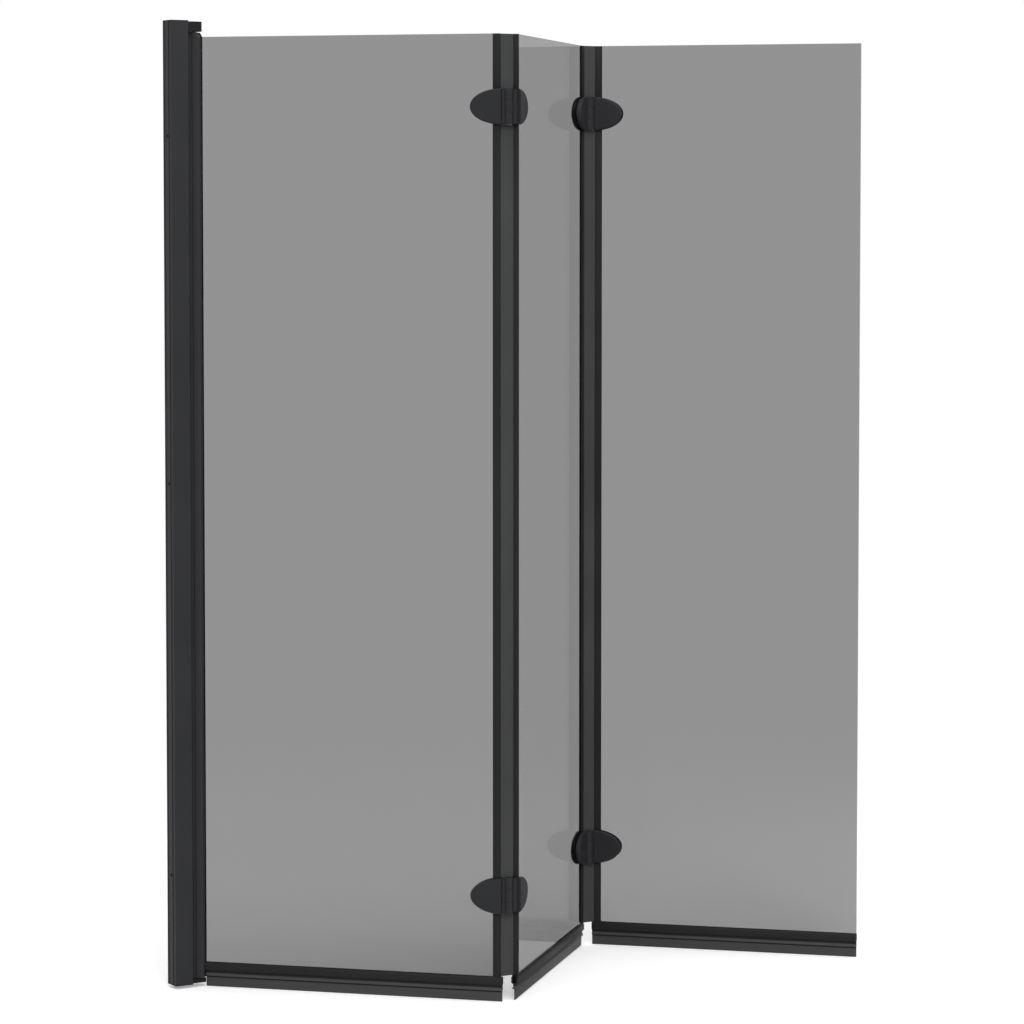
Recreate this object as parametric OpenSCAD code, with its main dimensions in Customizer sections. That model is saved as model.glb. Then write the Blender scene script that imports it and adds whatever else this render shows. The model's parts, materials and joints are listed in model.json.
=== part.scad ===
// Three-panel folding bath screen: a wall profile, a pivot, and three glass panels on four hinges.
// The wall is the plane x = 0 and z is up. The origin is midway between the outer two wall holes.

/* [Wall profile] */
// Depth of the wall channel, from the wall outwards
channel_depth = 27.4; // [24:0.2:36]
// Width of the wall channel across its face
channel_width = 27.5; // [26:0.5:34]
// Thickness of the channel's side walls
channel_wall = 1.8; // [1.4:0.1:2.4]
// Thickness of the channel's back
channel_back = 2.5; // [2:0.1:3.5]
// Width of the flat land along the middle of the back, where the screws go through
land_width = 8.4; // [7:0.2:12]
// Width of the strips along the back's edges
rim_width = 2.4; // [1.5:0.1:4]
// Depth of the two shallow grooves between the land and the strips
groove_depth = 0.8; // [0.3:0.1:1.2]
// Radius of the channel's outer edges
channel_edge = 0.8; // [0.3:0.1:1.5]
// Thickness of each channel end cap
end_cap_t = 1.5; // [1:0.1:3]
// Radius of the wall screw holes
wall_hole_r = 2.75; // [2:0.05:3.5]
// Distance between the lowest and the highest wall hole
hole_spacing = 1054; // [900:1:1100]
// Height of the lowest wall hole above the foot of the wall profile
hole_low = 159; // [120:1:240]
// Height of the middle wall hole above the midpoint of the other two
hole_middle = 34; // [-60:1:60]
// Height of the wall profile with its end caps
profile_h = 1376; // [1340:1:1500]

/* [Adjusting profile and pivot] */
// Play between the adjusting profile and the wall channel, on each side
slide_play = 0.35; // [0.2:0.05:0.6]
// Thickness of the adjusting profile's arms
arm_t = 1.6; // [1.2:0.1:2.2]
// Thickness of the adjusting profile's front
arm_front_t = 1.9; // [1.4:0.1:2.4]
// Distance from the wall to the back of the adjusting profile
adjust_back = 6; // [4.5:0.5:10]
// Height of the top pivot block
top_block_h = 14; // [10:0.5:20]
// Height of the bottom pivot block
bottom_block_h = 5.5; // [4:0.5:10]
// Width of the pivot block heads
block_width = 26; // [22:0.5:30]
// Reach of the pivot block heads beyond the pivot axis
block_nose = 14.2; // [10:0.1:14.4]
// Corner radius of the pivot block heads
block_round = 6.4; // [6.2:0.1:10]
// Length of the tongues that hold the blocks in the adjusting profile
tongue_l = 24; // [16:1:40]
// Half thickness of the pivot profile's cheeks
cheek_half = 8.5; // [7.5:0.1:10]
// Distance from the pivot axis to the front end of the cheeks
cheek_reach = 16.4; // [15:0.1:20]
// Distance from the pivot axis to the rear end of the cheeks
cheek_rear = 5; // [3:0.1:6]
// Radius of the cheeks' front corners
cheek_round = 4; // [2:0.1:4.5]
// Radius of the round core of the pivot profile
core_r = 8; // [7.5:0.1:8.3]
// Radius of the bore in the core
core_bore_r = 5; // [4.4:0.1:5.2]
// Drop of the slanted cut at the top of the cheeks
chamfer_drop = 7; // [3:0.5:12]
// Reach of the slanted cut at the top of the cheeks
chamfer_reach = 4.5; // [2:0.5:6]
// Radius of the pivot pins
pivot_pin_r = 3; // [2.5:0.1:3.2]
// Depth of the bushes in the core
bush_l = 12; // [8:1:20]
// Thickness of the bush flanges
bush_flange = 1; // [0.8:0.1:1.6]

/* [Glass panels] */
// Thickness of the glass
glass_t = 5; // [4:0.5:6]
// Distance from the top of the wall profile down to the top of the glass
glass_drop = 23; // [20:1:40]
// Reach of the bottom seals below the foot of the wall profile
seal_drop = 4; // [0:0.5:20]
// Length of panel 1 from its seal's start to the hinge leaves' end
panel_1_l = 438.7; // [420:0.1:600]
// Length of panel 2 from hinge leaf end to hinge leaf end
panel_2_l = 407.5; // [300:0.1:420]
// Length of panel 3 from the hinge leaves' end to its free edge
panel_3_l = 404.4; // [250:0.1:406]
// Angle between panel 1 and the wall's normal
swing_angle = 45; // [5:1:85]
// Angle between two panels' directions, as the screen stands half folded
fold_angle = 90; // [30:1:150]

/* [Hinges] */
// Length of a hinge leaf from its end to its tip
leaf_l = 45; // [36:0.5:60]
// Height of a hinge
leaf_h = 50; // [40:0.5:60]
// Fullness of the leaf's outline, where 2 is an ellipse
leaf_power = 2; // [1.8:0.05:2.6]
// Thickness of the leaf and back plates
plate_t = 3.2; // [2.8:0.1:4]
// Thickness of the cover caps over the plates
cover_t = 2; // [1.6:0.1:2.6]
// Thickness of the cover caps' skirts round the plates
cover_wall = 1.2; // [0.8:0.1:1.6]
// Radius of the cover caps' rounded rim
cover_round = 2.8; // [1.6:0.1:3]
// Thickness of a leaf's end wall in front of the glass edge
end_wall_t = 2.3; // [1.5:0.1:2.3]
// Reach of a leaf's end wall towards the hinge axis
nose_l = 3.6; // [2:0.1:3.8]
// Thickness of the rubber pads
pad_t = 1.5; // [1:0.1:2]
// Radius of the hinge barrel
barrel_r = 8; // [6.8:0.1:8.2]
// Distance from the leaves' end to the hinge axis, along the panel
axis_gap = 4.5; // [4.3:0.1:5]
// Gap between two folded panels' cover caps
fold_gap = 1; // [0.8:0.1:2]
// Height of the middle knuckle
knuckle_h = 18.4; // [14:0.2:22]
// Gap between knuckles
knuckle_gap = 0.3; // [0.2:0.05:0.5]
// Room around the barrel in the other leaf
barrel_room = 0.4; // [0.3:0.05:0.6]
// Radius of the hinge pins
hinge_pin_r = 3; // [2.5:0.1:3.2]
// Wall of the hinge bushes
hinge_bush_t = 1.2; // [1:0.1:1.4]
// Height of the clamp screws above and below the hinge's middle
screw_rise = 11; // [9:0.5:13]
// Distance from the leaves' end to the clamp screws
screw_back = 17; // [15:0.5:20]
// Radius of the clamp screws
screw_r = 2.5; // [2:0.1:2.8]
// Radius of the clamp screws' heads
screw_head_r = 4.6; // [4:0.1:5]
// Radius of the holes in the glass
glass_hole_r = 5; // [4:0.5:7]
// Distance from the glass top to the middle of the upper hinges
hinge_drop = 101; // [70:1:220]
// Height of the lower hinges' middle above the seal's lower edge
hinge_rise = 150; // [90:1:260]

/* [Seals] */
// Height of the bottom seal
seal_h = 35; // [34:0.5:44]
// Depth of glass in the bottom seal
seal_grip = 11; // [9:0.5:12]
// Half thickness of the bottom seal's clip
seal_half = 5; // [4.4:0.1:5.4]
// Half thickness of the bottom seal's neck
seal_neck_half = 2.1; // [1.7:0.1:2.8]
// Half width over the fins under the clip
seal_fin_half = 3.5; // [3.2:0.1:4.4]
// Height of the blade below the fins
blade_h = 15.5; // [13:0.5:18]
// Height of the fins
seal_fin_h = 4; // [3:0.5:4.5]
// Height of the notch above the fins
seal_notch_h = 3; // [2:0.5:3.5]
// Thickness of the blade
blade_t = 1.8; // [1.2:0.1:2.2]
// Radius of the bead that holds the blade
bead_r = 1.4; // [1.2:0.1:1.5]
// Gap between the pivot profile and the bottom seal
seal_start_gap = 1.4; // [1:0.1:3]
// Depth of the joint seal's clips
clip_depth = 10; // [8:0.5:14]
// Thickness of the joint seal's clips
clip_t = 9.8; // [8:0.1:10]
// Thickness of a clip's end wall
clip_end_t = 1.2; // [0.8:0.1:2]
// Thickness of a clip's lips, where its sides have tapered
clip_lip = 0.5; // [0.4:0.1:1]
// Distance from the leaves' end to the joint seal's clips
clip_gap = 3; // [2.5:0.1:4]
// Thickness of the web between two clips, measured across the panel
web_t = 1.2; // [0.8:0.1:1.6]

/* [Hidden] */
$fn = 48;

// Colours
black_metal = [0.20, 0.20, 0.21];
black_plastic = [0.16, 0.16, 0.17];
black_rubber = [0.24, 0.24, 0.24];
steel = [0.70, 0.70, 0.72];
nylon = [0.17, 0.17, 0.17];
tinted_glass = [0.30, 0.31, 0.32, 0.5];

// Clearances
press = 0.02;
running = 0.05;
fit = 0.1;
body_gap = 0.3;
joint_gap = 0.2;

// A length that reaches past whatever it cuts
over = 1;

// Heights of the wall profile
profile_foot = -hole_spacing / 2 - hole_low;
profile_top = profile_foot + profile_h;
channel_foot = profile_foot + end_cap_t;
channel_top = profile_top - end_cap_t;
hole_heights = [-hole_spacing / 2, hole_middle, hole_spacing / 2];

// The channel's hollow and the adjusting profile
hollow_half = channel_width / 2 - channel_wall;
adjust_half = hollow_half - slide_play;
arm_inner = adjust_half - arm_t;
adjust_front = channel_depth - fit;
adjust_top = channel_top - top_block_h - joint_gap;
adjust_foot = channel_foot + bottom_block_h + joint_gap;
tongue_back = adjust_back + 2;
tongue_front = adjust_front - arm_front_t - 1;
tongue_half = arm_inner - fit;

// The pivot
swing_gap = 0.6;
pivot_x = channel_depth + swing_gap + cheek_half;
turn_room = bush_flange + body_gap;
rotor_top = channel_top - top_block_h - turn_room;
rotor_foot = channel_foot + bottom_block_h + turn_room;
bush_flange_r = core_bore_r + 2.4;
top_pin_grip = top_block_h - 2;

// Small screws in the wall profile
small_screw_r = 1.7;
small_head_r = 3.4;
small_head_t = 1.6;
small_screw_l = 6;
small_screw_x = (adjust_back + adjust_front) / 2;
channel_screw_heights = [for (k = [-1, 0, 1]) k * 0.32 * profile_h];
block_screw_heights = [adjust_top - tongue_l / 2, adjust_foot + tongue_l / 2];

// Heights of glass and seals
glass_top = profile_top - glass_drop;
seal_foot = profile_foot - seal_drop;
seal_top = seal_foot + seal_h;
glass_foot = seal_top - seal_grip;
glass_h = glass_top - glass_foot;
hinge_heights = [glass_top - hinge_drop, seal_foot + hinge_rise];

// Layers of a hinge, measured from the middle of the glass
glass_half = glass_t / 2;
plate_in = glass_half + pad_t;
plate_out = plate_in + plate_t;
cover_out = plate_out + cover_t;
axis_off = cover_out + fold_gap / 2;
head_h = screw_head_r - screw_r;
pad_inset = 1;
pad_back = 2.5;

// Length along panel 1, counted from the pivot axis
gasket_t = 1.2;
slot_half = glass_half + gasket_t;
slot_floor = core_bore_r + 1.7;
glass_1_start = slot_floor + gasket_t + fit;
seal_1_start = cheek_reach + seal_start_gap;
panel_1_end = seal_1_start + panel_1_l;
glass_edge = clip_gap + clip_end_t + fit;

// Heights between the hinges that the joint seals fill
notch = leaf_h / 2 + fit;
strips = [
    [seal_top + joint_gap, hinge_heights[1] - notch],
    [hinge_heights[1] + notch, hinge_heights[0] - notch],
    [hinge_heights[0] + notch, glass_top]
];

// Directions and starting points of the panels, seen from above
angle_1 = -swing_angle;
angle_2 = angle_1 + fold_angle;
angle_3 = angle_2 - fold_angle;
function turned(p, a) = [p[0] * cos(a) - p[1] * sin(a), p[0] * sin(a) + p[1] * cos(a)];
start_1 = [pivot_x, 0];
axis_1 = start_1 + turned([panel_1_end + axis_gap, axis_off], angle_1);
start_2 = axis_1 - turned([-axis_gap, axis_off], angle_2);
axis_2 = start_2 + turned([panel_2_l + axis_gap, -axis_off], angle_2);
start_3 = axis_2 - turned([-axis_gap, -axis_off], angle_3);

// Puts a piece drawn along x, with its middle plane at y = 0, on a panel
module on_panel(start, angle) {
    translate([start[0], start[1], 0]) rotate(angle) children();
}
module on_panel_1() { on_panel(start_1, angle_1) children(); }
module on_panel_2() { on_panel(start_2, angle_2) children(); }
module on_panel_3() { on_panel(start_3, angle_3) children(); }

// A half hinge is drawn with its leaf along -x from x = 0 and its barrel at +y
module at_end(length, side) {
    translate([length, 0, 0]) mirror([0, side < 0 ? 1 : 0, 0]) children();
}
module at_start(side) {
    mirror([1, 0, 0]) mirror([0, side < 0 ? 1 : 0, 0]) children();
}
module at_hinges() {
    for (h = hinge_heights) translate([0, 0, h]) children();
}

// A rectangle from low to high with rounded corners, where round lists the corners' radii
// in the order low-low, high-low, high-high, low-high
module rounded_box(low, high, round) {
    corners = [[low[0], low[1]], [high[0], low[1]], [high[0], high[1]], [low[0], high[1]]];
    inward = [[1, 1], [-1, 1], [-1, -1], [1, -1]];
    difference() {
        translate(low) square(high - low);
        for (i = [0:3]) if (round[i] > 0) {
            difference() {
                translate(corners[i] - inward[i] * over / 2)
                    translate([inward[i][0] < 0 ? -round[i] - over / 2 : 0,
                               inward[i][1] < 0 ? -round[i] - over / 2 : 0])
                    square(round[i] + over / 2);
                translate(corners[i] + inward[i] * round[i]) circle(round[i]);
            }
        }
    }
}

// A shape drawn in x and z, as thick as from y = near to y = far
module slab(near, far) {
    translate([0, far, 0]) rotate([90, 0, 0]) linear_extrude(far - near) children();
}
// A rod along y
module rod_y(near, far, radius) {
    translate([0, near, 0]) rotate([-90, 0, 0]) cylinder(h = far - near, r = radius);
}

// Outline of a hinge leaf, drawn smaller by inset: a half superellipse, flat at its end
leaf_steps = 40;
function power_of(c) = sign(c) * pow(abs(c), 2 / leaf_power);
module leaf_outline(inset = 0, end_inset = 0) {
    polygon([for (i = [0:leaf_steps])
        let (a = 90 + 180 * i / leaf_steps,
             x = i == 0 || i == leaf_steps ? 0 : (leaf_l - inset) * power_of(cos(a)))
        [x - end_inset * (1 + x / leaf_l), (leaf_h / 2 - inset) * power_of(sin(a))]]);
}

// Wall frame

module channel_section() {
    difference() {
        rounded_box([0, -channel_width / 2], [channel_depth, channel_width / 2],
            [channel_edge, channel_edge, channel_edge, channel_edge]);
        translate([channel_back, -hollow_half]) square([channel_depth, 2 * hollow_half]);
        for (s = [0, 1]) mirror([0, s])
            translate([-over, land_width / 2])
                square([groove_depth + over, channel_width / 2 - rim_width - land_width / 2]);
    }
}

module wall_channel() {
    color(black_metal) difference() {
        translate([0, 0, channel_foot]) linear_extrude(channel_top - channel_foot) channel_section();
        for (h = hole_heights)
            translate([-over, 0, h]) rotate([0, 90, 0])
                cylinder(h = channel_back + 2 * over, r = wall_hole_r);
        for (h = channel_screw_heights)
            translate([small_screw_x, 0, h])
                rod_y(hollow_half - over, channel_width / 2 + over, small_screw_r + fit);
    }
}

plug_h = 4;
plug_gap = 0.3;
module channel_end_cap() {
    linear_extrude(end_cap_t)
        rounded_box([0, -channel_width / 2], [channel_depth, channel_width / 2],
            [channel_edge, channel_edge, channel_edge, channel_edge]);
    translate([channel_back + plug_gap, plug_gap - hollow_half, -plug_h])
        cube([adjust_back - channel_back - 2 * plug_gap, 2 * (hollow_half - plug_gap), plug_h]);
}

module channel_end_caps() {
    color(black_plastic) {
        translate([0, 0, channel_top]) channel_end_cap();
        translate([0, 0, channel_foot]) mirror([0, 0, 1]) channel_end_cap();
    }
}

module adjusting_profile() {
    color(black_metal) difference() {
        translate([0, 0, adjust_foot]) linear_extrude(adjust_top - adjust_foot) difference() {
            translate([adjust_back, -adjust_half])
                square([adjust_front - adjust_back, 2 * adjust_half]);
            translate([adjust_back - over, -arm_inner])
                square([adjust_front - adjust_back - arm_front_t + over, 2 * arm_inner]);
        }
        for (h = channel_screw_heights)
            translate([small_screw_x, 0, h])
                rod_y(arm_inner - over, adjust_half + over, small_screw_r + press);
        for (h = block_screw_heights) translate([small_screw_x, 0, h]) block_screw(fit);
    }
}

// A countersunk screw through one arm into a block's tongue
module block_screw(room = 0) {
    rod_y(adjust_half - arm_t - small_screw_l, adjust_half, small_screw_r + room);
    translate([0, adjust_half - small_head_t, 0]) rotate([-90, 0, 0])
        cylinder(h = small_head_t, r1 = small_screw_r + room,
            r2 = small_screw_r + small_head_t + room);
}

// A block's head in front of the channel, its shoulder in the channel and its tongue below both
module pivot_block(height) {
    linear_extrude(height) union() {
        rounded_box([channel_depth + body_gap, -block_width / 2],
            [pivot_x + block_nose, block_width / 2], [0, block_round, block_round, 0]);
        translate([adjust_back, -adjust_half])
            square([channel_depth + 2 * body_gap - adjust_back, 2 * adjust_half]);
    }
    translate([tongue_back, -tongue_half, -tongue_l])
        cube([tongue_front - tongue_back, 2 * tongue_half, tongue_l + over]);
}

module top_pivot_block() {
    color(black_plastic) difference() {
        translate([0, 0, channel_top - top_block_h]) pivot_block(top_block_h);
        translate([pivot_x, 0, channel_top - top_block_h - over])
            cylinder(h = top_pin_grip + over, r = pivot_pin_r + press);
        translate([small_screw_x, 0, block_screw_heights[0]]) block_screw(press);
    }
}

module bottom_pivot_block() {
    color(black_plastic) difference() {
        translate([0, 0, channel_foot + bottom_block_h]) mirror([0, 0, 1])
            pivot_block(bottom_block_h);
        translate([pivot_x, 0, channel_foot - over])
            cylinder(h = bottom_block_h + 2 * over, r = pivot_pin_r + press);
        translate([small_screw_x, 0, block_screw_heights[1]]) block_screw(press);
    }
}

module pivot_pins() {
    color(steel) translate([pivot_x, 0, 0]) {
        translate([0, 0, rotor_top - bush_l + over])
            cylinder(h = bush_l - over + turn_room + top_pin_grip - fit, r = pivot_pin_r);
        translate([0, 0, channel_foot + fit])
            cylinder(h = bottom_block_h + turn_room + bush_l - over - fit, r = pivot_pin_r);
    }
}

module channel_screws() {
    color(steel) for (h = channel_screw_heights) translate([small_screw_x, 0, h]) {
        rod_y(arm_inner - small_screw_l / 2, channel_width / 2 + fit, small_screw_r);
        translate([0, channel_width / 2, 0]) rotate([-90, 0, 0])
            cylinder(h = small_head_t, r1 = small_head_r, r2 = small_head_r - 0.6);
    }
}

module block_screws() {
    color(steel) for (h = block_screw_heights) translate([small_screw_x, 0, h]) block_screw();
}

// Pivot profile and what turns with it

module pivot_section() {
    difference() {
        union() {
            circle(core_r);
            rounded_box([cheek_rear, -cheek_half], [cheek_reach, cheek_half],
                [1, cheek_round, cheek_round, 1]);
        }
        circle(core_bore_r);
        translate([slot_floor, -slot_half]) square([cheek_reach, 2 * slot_half]);
    }
}

module pivot_profile() {
    color(black_metal) on_panel_1() difference() {
        translate([0, 0, rotor_foot]) linear_extrude(rotor_top - rotor_foot) pivot_section();
        slab(-cheek_half - over, cheek_half + over)
            polygon([
                [cheek_reach - chamfer_reach, rotor_top],
                [cheek_reach, rotor_top - chamfer_drop],
                [cheek_reach + over, rotor_top - chamfer_drop],
                [cheek_reach + over, rotor_top + over],
                [cheek_reach - chamfer_reach, rotor_top + over]
            ]);
    }
}

module pivot_bush() {
    difference() {
        union() {
            translate([0, 0, -bush_l]) cylinder(h = bush_l + fit, r = core_bore_r - press);
            cylinder(h = bush_flange, r = bush_flange_r);
        }
        translate([0, 0, -bush_l - over])
            cylinder(h = bush_l + bush_flange + 2 * over, r = pivot_pin_r + running);
    }
}

module pivot_bushes() {
    color(nylon) on_panel_1() {
        translate([0, 0, rotor_top]) pivot_bush();
        translate([0, 0, rotor_foot]) mirror([0, 0, 1]) pivot_bush();
    }
}

gasket_lip = 0.6;
module glazing_gasket() {
    color(black_rubber) on_panel_1()
        translate([0, 0, glass_foot]) linear_extrude(rotor_top - chamfer_drop - glass_foot)
            difference() {
                translate([slot_floor, -slot_half + press])
                    square([cheek_reach + gasket_lip - slot_floor, 2 * (slot_half - press)]);
                translate([slot_floor + gasket_t, -glass_half - press])
                    square([cheek_reach, glass_t + 2 * press]);
            }
}

// Glass and seals, drawn along x

module glass(near, far, hinge_ends) {
    color(tinted_glass) difference() {
        translate([near, -glass_half, glass_foot]) cube([far - near, glass_t, glass_h]);
        for (x = hinge_ends) at_hinges() for (s = [-1, 1])
            translate([x, 0, s * screw_rise])
                rod_y(-glass_half - over, glass_half + over, glass_hole_r);
    }
}

module glass_panel_1() {
    on_panel_1() glass(glass_1_start, panel_1_end - glass_edge, [panel_1_end - screw_back]);
}
module glass_panel_2() {
    on_panel_2() glass(glass_edge, panel_2_l - glass_edge, [screw_back, panel_2_l - screw_back]);
}
module glass_panel_3() {
    on_panel_3() glass(glass_edge, panel_3_l, [screw_back]);
}

// The bottom seal's clip, drawn in y and z from the seal's foot
fin_edge = 0.8;
seal_slope = 1.7;
seal_taper = 2.5;
seal_lip_half = glass_half + 0.6;
bead_height = blade_h + bead_r + 1;
module clip_section() {
    fin_top = blade_h + seal_fin_h;
    notch_top = fin_top + seal_notch_h;
    half = [
        [seal_fin_half, blade_h], [seal_fin_half, blade_h + fin_edge], [seal_neck_half, fin_top],
        [seal_neck_half, notch_top], [seal_half, notch_top + seal_slope],
        [seal_half, seal_h - seal_taper], [seal_lip_half, seal_h]
    ];
    other = [for (i = [len(half) - 1:-1:0]) [-half[i][0], half[i][1]]];
    difference() {
        polygon(concat(half, other));
        translate([-glass_half - press, seal_h - seal_grip - press])
            square([glass_t + 2 * press, seal_grip + over]);
        translate([0, bead_height]) circle(bead_r + press);
        translate([-blade_t / 2 - press, blade_h - over])
            square([blade_t + 2 * press, bead_height - blade_h + over]);
    }
}
module blade_section() {
    translate([0, blade_t / 2]) circle(blade_t / 2);
    translate([-blade_t / 2, blade_t / 2]) square([blade_t, bead_height - blade_t / 2]);
    translate([0, bead_height]) circle(bead_r);
}
// A section drawn in y and z, carried along x
module along(near, far) {
    translate([near, 0, seal_foot]) rotate([90, 0, 90]) linear_extrude(far - near) children();
}

module bottom_seal_clip_1() {
    color(black_plastic) on_panel_1() along(seal_1_start, panel_1_end) clip_section();
}
module bottom_seal_clip_2() {
    color(black_plastic) on_panel_2() along(0, panel_2_l) clip_section();
}
module bottom_seal_clip_3() {
    color(black_plastic) on_panel_3() along(0, panel_3_l) clip_section();
}
module bottom_seal_blade_1() {
    color(black_rubber) on_panel_1() along(seal_1_start, panel_1_end) blade_section();
}
module bottom_seal_blade_2() {
    color(black_rubber) on_panel_2() along(0, panel_2_l) blade_section();
}
module bottom_seal_blade_3() {
    color(black_rubber) on_panel_3() along(0, panel_3_l) blade_section();
}

// A joint seal's clip, drawn on the end of a panel: a U whose sides taper to thin lips
lip_half = glass_half + press + clip_lip;
module edge_clip() {
    color(black_plastic) for (s = strips)
        translate([0, 0, s[0]]) linear_extrude(s[1] - s[0]) difference() {
            polygon([[-clip_gap - clip_depth, -lip_half], [-clip_gap, -clip_t / 2],
                     [-clip_gap, clip_t / 2], [-clip_gap - clip_depth, lip_half]]);
            translate([-clip_gap - clip_depth - over, -glass_half - press])
                square([clip_depth - clip_end_t + over, glass_t + 2 * press]);
        }
}

module edge_clip_1() { on_panel_1() at_end(panel_1_end, 1) edge_clip(); }
module edge_clip_2a() { on_panel_2() at_start(1) edge_clip(); }
module edge_clip_2b() { on_panel_2() at_end(panel_2_l, 1) edge_clip(); }
module edge_clip_3() { on_panel_3() at_start(1) edge_clip(); }

// A joint seal's web runs straight between the clips, on the side of the barrels
module joint_web(start_a, end_a, angle_a, start_b, angle_b, side) {
    reach_a = end_a - clip_gap + fit;
    reach_b = clip_gap - fit;
    outer = side * clip_t / 2;
    inner = side * (clip_t / 2 - web_t);
    color(black_rubber) for (s = strips)
        translate([0, 0, s[0]]) linear_extrude(s[1] - s[0]) polygon([
            start_a + turned([reach_a, inner], angle_a), start_a + turned([reach_a, outer], angle_a),
            start_b + turned([reach_b, outer], angle_b), start_b + turned([reach_b, inner], angle_b)
        ]);
}
module joint_web_12() { joint_web(start_1, panel_1_end, angle_1, start_2, angle_2, 1); }
module joint_web_23() { joint_web(start_2, panel_2_l, angle_2, start_3, angle_3, -1); }

// Hinges, drawn as a half hinge whose middle is at z = 0

module clamp_screw(room = 0) {
    rod_y(fit - plate_out, plate_out, screw_r + room);
    translate([0, plate_out - head_h, 0]) rotate([-90, 0, 0])
        cylinder(h = head_h, r1 = screw_r + room, r2 = screw_head_r + room);
}
module at_screws() {
    for (s = [-1, 1]) translate([-screw_back, 0, s * screw_rise]) children();
}

// A leaf has the two outer knuckles, or the middle one
module knuckles(outer, radius) {
    middle = knuckle_h / 2;
    side_h = leaf_h / 2 - middle - knuckle_gap;
    translate([axis_gap, axis_off, 0]) if (outer) {
        for (s = [0, 1]) mirror([0, 0, s])
            translate([0, 0, middle + knuckle_gap]) cylinder(h = side_h, r = radius);
    } else {
        translate([0, 0, -middle]) cylinder(h = knuckle_h, r = radius);
    }
}
// The room that a leaf leaves for the other leaf's knuckles
module knuckle_room(outer) {
    middle = knuckle_h / 2 + (outer ? knuckle_gap : 0);
    side_h = leaf_h / 2 - middle + over;
    translate([axis_gap, axis_off, 0]) if (outer) {
        translate([0, 0, -middle]) cylinder(h = 2 * middle, r = barrel_r + barrel_room);
    } else {
        for (s = [0, 1]) mirror([0, 0, s])
            translate([0, 0, middle]) cylinder(h = side_h, r = barrel_r + barrel_room);
    }
}

// The plates lie inside the cover caps' skirts. The leaf's plate also wraps round the glass edge
bush_seat_r = hinge_pin_r + hinge_bush_t;
plate_inset = cover_wall + press;
module leaf_plate(outer) {
    color(black_metal) at_hinges() difference() {
        union() {
            difference() {
                union() {
                    slab(plate_in, plate_out) leaf_outline(plate_inset);
                    translate([-end_wall_t, fit - plate_in, plate_inset + fit - leaf_h / 2])
                        cube([end_wall_t + nose_l, 2 * plate_in, leaf_h - 2 * plate_inset - 2 * fit]);
                }
                knuckle_room(outer);
            }
            knuckles(outer, barrel_r);
        }
        translate([axis_gap, axis_off, -leaf_h / 2 - over])
            cylinder(h = leaf_h + 2 * over, r = outer ? hinge_pin_r + press : bush_seat_r + press);
        at_screws() clamp_screw(press);
    }
}

module back_plate() {
    color(black_metal) at_hinges() difference() {
        slab(-plate_out, -plate_in) leaf_outline(plate_inset);
        at_screws() clamp_screw(press);
    }
}

// A cover cap with a rounded rim, pushed over the back plate and, cut round the barrel, over the leaf
module cover() {
    difference() {
        hull() for (a = [0:30:90])
            slab(plate_in, cover_out - cover_round * (1 - sin(a)))
                leaf_outline(cover_round * (1 - cos(a)));
        slab(0, plate_out) leaf_outline(cover_wall);
        translate([-over, 0, cover_wall - leaf_h / 2])
            cube([2 * over, plate_out, leaf_h - 2 * cover_wall]);
    }
}
module covers() {
    color(black_metal) at_hinges() {
        difference() {
            cover();
            translate([axis_gap, axis_off, -leaf_h / 2 - over])
                cylinder(h = leaf_h + 2 * over, r = barrel_r + barrel_room);
        }
        mirror([0, 1, 0]) cover();
    }
}

module pads() {
    color(black_rubber) at_hinges() for (s = [0, 1]) mirror([0, s, 0]) difference() {
        slab(glass_half, plate_in) intersection() {
            leaf_outline(pad_inset);
            translate([-leaf_l, -leaf_h / 2]) square([leaf_l - pad_back, leaf_h]);
        }
        at_screws() rod_y(0, plate_out, screw_r + fit);
    }
}

module screws() {
    color(steel) at_hinges() at_screws() clamp_screw();
}

pin_recess = 1;
module hinge_pin() {
    color(steel) at_hinges() translate([axis_gap, axis_off, pin_recess - leaf_h / 2])
        cylinder(h = leaf_h - 2 * pin_recess, r = hinge_pin_r);
}

module hinge_bush() {
    color(nylon) at_hinges() translate([axis_gap, axis_off, -knuckle_h / 2]) difference() {
        cylinder(h = knuckle_h, r = bush_seat_r);
        translate([0, 0, -over]) cylinder(h = knuckle_h + 2 * over, r = hinge_pin_r + running);
    }
}

// Half hinge at the end of panel 1, barrel behind the glass
module half_1a() { on_panel_1() at_end(panel_1_end, 1) children(); }
module hinge_1_leaf_a() { half_1a() leaf_plate(true); }
module hinge_1_back_plate_a() { half_1a() back_plate(); }
module hinge_1_covers_a() { half_1a() covers(); }
module hinge_1_pads_a() { half_1a() pads(); }
module hinge_1_screws_a() { half_1a() screws(); }
module hinge_1_pins() { half_1a() hinge_pin(); }

// Half hinge at the start of panel 2
module half_1b() { on_panel_2() at_start(1) children(); }
module hinge_1_leaf_b() { half_1b() leaf_plate(false); }
module hinge_1_back_plate_b() { half_1b() back_plate(); }
module hinge_1_covers_b() { half_1b() covers(); }
module hinge_1_pads_b() { half_1b() pads(); }
module hinge_1_screws_b() { half_1b() screws(); }
module hinge_1_bushes() { half_1b() hinge_bush(); }

// Half hinge at the end of panel 2, barrel in front of the glass
module half_2a() { on_panel_2() at_end(panel_2_l, -1) children(); }
module hinge_2_leaf_a() { half_2a() leaf_plate(true); }
module hinge_2_back_plate_a() { half_2a() back_plate(); }
module hinge_2_covers_a() { half_2a() covers(); }
module hinge_2_pads_a() { half_2a() pads(); }
module hinge_2_screws_a() { half_2a() screws(); }
module hinge_2_pins() { half_2a() hinge_pin(); }

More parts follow.
